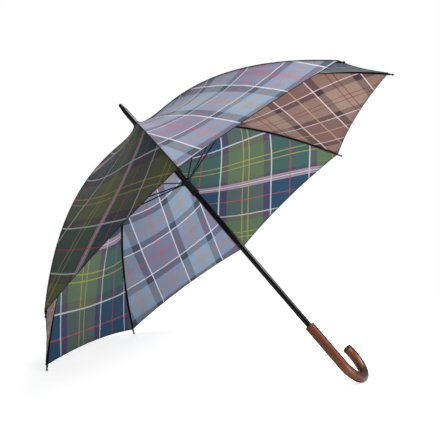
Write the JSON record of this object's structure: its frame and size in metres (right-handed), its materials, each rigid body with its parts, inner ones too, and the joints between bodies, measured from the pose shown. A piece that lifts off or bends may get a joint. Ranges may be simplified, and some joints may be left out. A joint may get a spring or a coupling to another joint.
{
  "type": "stick umbrella",
  "caption": "Full-length stick umbrella, open, with a checked fabric canopy on hinged steel ribs, a sliding runner and a wooden crook handle.",
  "frame": {"origin": "on the stick's axis, level with the lowest point of the crook", "axes": "+Z along the stick to the ferrule; rib 0 points along -Y and the others follow clockwise seen from above"},
  "size_m": [1.1068, 1.1068, 0.9078],
  "materials": {
    "handle_wood": "polished red-brown lacquer",
    "black_steel": "satin black enamel",
    "ferrule_steel": "worn satin black",
    "runner_plastic": "black moulded plastic",
    "spring_steel": "bright spring steel",
    "wire": "bright wire",
    "fabric_green": "woven check in green, teal and navy",
    "fabric_blue": "woven check in blue, lavender and slate",
    "fabric_brown": "woven check in tan, brown and plum"
  },
  "bodies": {
    "stick": {"shaft": "black_steel", "handle": "handle_wood", "ferrule": "ferrule_steel", "crown_cap": "ferrule_steel", "notch": "runner_plastic", "notch_wire": "wire", "stopper_pin": "spring_steel"},
    "runner": {"runner": "runner_plastic", "runner_wire": "wire"},
    "top_spring": {"top_spring": "spring_steel"},
    "bottom_spring": {"bottom_spring": "spring_steel"},
    "rib_0": {"rib_0": "black_steel", "rib_clip_0": "black_steel", "rib_tip_0": "black_steel", "canopy_panel_0": "fabric_green"},
    "stretcher_0": {"stretcher_0": "black_steel"},
    "rib_1": {"rib_1": "black_steel", "rib_clip_1": "black_steel", "rib_tip_1": "black_steel", "canopy_panel_1": "fabric_brown"},
    "stretcher_1": {"stretcher_1": "black_steel"},
    "rib_2": {"rib_2": "black_steel", "rib_clip_2": "black_steel", "rib_tip_2": "black_steel", "canopy_panel_2": "fabric_green"},
    "stretcher_2": {"stretcher_2": "black_steel"},
    "rib_3": {"rib_3": "black_steel", "rib_clip_3": "black_steel", "rib_tip_3": "black_steel", "canopy_panel_3": "fabric_blue"},
    "stretcher_3": {"stretcher_3": "black_steel"},
    "rib_4": {"rib_4": "black_steel", "rib_clip_4": "black_steel", "rib_tip_4": "black_steel", "canopy_panel_4": "fabric_green"},
    "stretcher_4": {"stretcher_4": "black_steel"},
    "rib_5": {"rib_5": "black_steel", "rib_clip_5": "black_steel", "rib_tip_5": "black_steel", "canopy_panel_5": "fabric_brown"},
    "stretcher_5": {"stretcher_5": "black_steel"},
    "rib_6": {"rib_6": "black_steel", "rib_clip_6": "black_steel", "rib_tip_6": "black_steel", "canopy_panel_6": "fabric_green", "tie_band": "fabric_green", "tie_snap": "black_steel"},
    "stretcher_6": {"stretcher_6": "black_steel"},
    "rib_7": {"rib_7": "black_steel", "rib_clip_7": "black_steel", "rib_tip_7": "black_steel", "canopy_panel_7": "fabric_blue"},
    "stretcher_7": {"stretcher_7": "black_steel"}
  },
  "joints": [
    {"name": "runner_slide", "type": "slide", "parent": "stick", "child": "runner", "axis": [0, 0, 1], "range_m": [-0.33, 0], "deforming": ["canopy_panel_0", "canopy_panel_1", "canopy_panel_2", "canopy_panel_3", "canopy_panel_4", "canopy_panel_5", "canopy_panel_6", "canopy_panel_7", "top_spring"]},
    {"name": "rib_hinge_0", "type": "hinge", "parent": "stick", "child": "rib_0", "pos_m": [0, -0.009, 0.81084], "axis": [1, 0, 0], "range_deg": [0, 60.39]},
    {"name": "stretcher_hinge_0", "type": "hinge", "parent": "rib_0", "child": "stretcher_0", "pos_m": [0, -0.2507, 0.73593], "axis": [1, 0, 0], "range_deg": [-117.14, 0]},
    {"name": "rib_hinge_1", "type": "hinge", "parent": "stick", "child": "rib_1", "pos_m": [-0.00636, -0.00636, 0.81084], "axis": [0.7071, -0.7071, 0], "range_deg": [0, 60.39]},
    {"name": "stretcher_hinge_1", "type": "hinge", "parent": "rib_1", "child": "stretcher_1", "pos_m": [-0.17727, -0.17727, 0.73593], "axis": [0.7071, -0.7071, 0], "range_deg": [-117.14, 0]},
    {"name": "rib_hinge_2", "type": "hinge", "parent": "stick", "child": "rib_2", "pos_m": [-0.009, 0, 0.81084], "axis": [0, -1, 0], "range_deg": [0, 60.39]},
    {"name": "stretcher_hinge_2", "type": "hinge", "parent": "rib_2", "child": "stretcher_2", "pos_m": [-0.2507, 0, 0.73593], "axis": [0, -1, 0], "range_deg": [-117.14, 0]},
    {"name": "rib_hinge_3", "type": "hinge", "parent": "stick", "child": "rib_3", "pos_m": [-0.00636, 0.00636, 0.81084], "axis": [-0.7071, -0.7071, 0], "range_deg": [0, 60.39]},
    {"name": "stretcher_hinge_3", "type": "hinge", "parent": "rib_3", "child": "stretcher_3", "pos_m": [-0.17727, 0.17727, 0.73593], "axis": [-0.7071, -0.7071, 0], "range_deg": [-117.14, 0]},
    {"name": "rib_hinge_4", "type": "hinge", "parent": "stick", "child": "rib_4", "pos_m": [0, 0.009, 0.81084], "axis": [-1, 0, 0], "range_deg": [0, 60.39]},
    {"name": "stretcher_hinge_4", "type": "hinge", "parent": "rib_4", "child": "stretcher_4", "pos_m": [0, 0.2507, 0.73593], "axis": [-1, 0, 0], "range_deg": [-117.14, 0]},
    {"name": "rib_hinge_5", "type": "hinge", "parent": "stick", "child": "rib_5", "pos_m": [0.00636, 0.00636, 0.81084], "axis": [-0.7071, 0.7071, 0], "range_deg": [0, 60.39]},
    {"name": "stretcher_hinge_5", "type": "hinge", "parent": "rib_5", "child": "stretcher_5", "pos_m": [0.17727, 0.17727, 0.73593], "axis": [-0.7071, 0.7071, 0], "range_deg": [-117.14, 0]},
    {"name": "rib_hinge_6", "type": "hinge", "parent": "stick", "child": "rib_6", "pos_m": [0.009, 0, 0.81084], "axis": [0, 1, 0], "range_deg": [0, 60.39]},
    {"name": "stretcher_hinge_6", "type": "hinge", "parent": "rib_6", "child": "stretcher_6", "pos_m": [0.2507, 0, 0.73593], "axis": [0, 1, 0], "range_deg": [-117.14, 0]},
    {"name": "rib_hinge_7", "type": "hinge", "parent": "stick", "child": "rib_7", "pos_m": [0.00636, -0.00636, 0.81084], "axis": [0.7071, 0.7071, 0], "range_deg": [0, 60.39]},
    {"name": "stretcher_hinge_7", "type": "hinge", "parent": "rib_7", "child": "stretcher_7", "pos_m": [0.17727, -0.17727, 0.73593], "axis": [0.7071, 0.7071, 0], "range_deg": [-117.14, 0]},
    {"name": "top_spring_press", "type": "slide", "parent": "stick", "child": "top_spring", "axis": [0.3827, -0.9239, 0], "range_m": [0, 0.0021], "stiffness_N_per_m": 2000},
    {"name": "bottom_spring_press", "type": "slide", "parent": "stick", "child": "bottom_spring", "axis": [0.3827, -0.9239, 0], "range_m": [0, 0.0021], "stiffness_N_per_m": 2000}
  ],
  "couplings": [
    {"joint": "rib_hinge_0", "follows": "runner_slide", "rad_per_m": -3.1928},
    {"joint": "stretcher_hinge_0", "follows": "runner_slide", "rad_per_m": 6.1945},
    {"joint": "rib_hinge_1", "follows": "runner_slide", "rad_per_m": -3.1928},
    {"joint": "stretcher_hinge_1", "follows": "runner_slide", "rad_per_m": 6.1945},
    {"joint": "rib_hinge_2", "follows": "runner_slide", "rad_per_m": -3.1928},
    {"joint": "stretcher_hinge_2", "follows": "runner_slide", "rad_per_m": 6.1945},
    {"joint": "rib_hinge_3", "follows": "runner_slide", "rad_per_m": -3.1928},
    {"joint": "stretcher_hinge_3", "follows": "runner_slide", "rad_per_m": 6.1945},
    {"joint": "rib_hinge_4", "follows": "runner_slide", "rad_per_m": -3.1928},
    {"joint": "stretcher_hinge_4", "follows": "runner_slide", "rad_per_m": 6.1945},
    {"joint": "rib_hinge_5", "follows": "runner_slide", "rad_per_m": -3.1928},
    {"joint": "stretcher_hinge_5", "follows": "runner_slide", "rad_per_m": 6.1945},
    {"joint": "rib_hinge_6", "follows": "runner_slide", "rad_per_m": -3.1928},
    {"joint": "stretcher_hinge_6", "follows": "runner_slide", "rad_per_m": 6.1945},
    {"joint": "rib_hinge_7", "follows": "runner_slide", "rad_per_m": -3.1928},
    {"joint": "stretcher_hinge_7", "follows": "runner_slide", "rad_per_m": 6.1945}
  ]
}
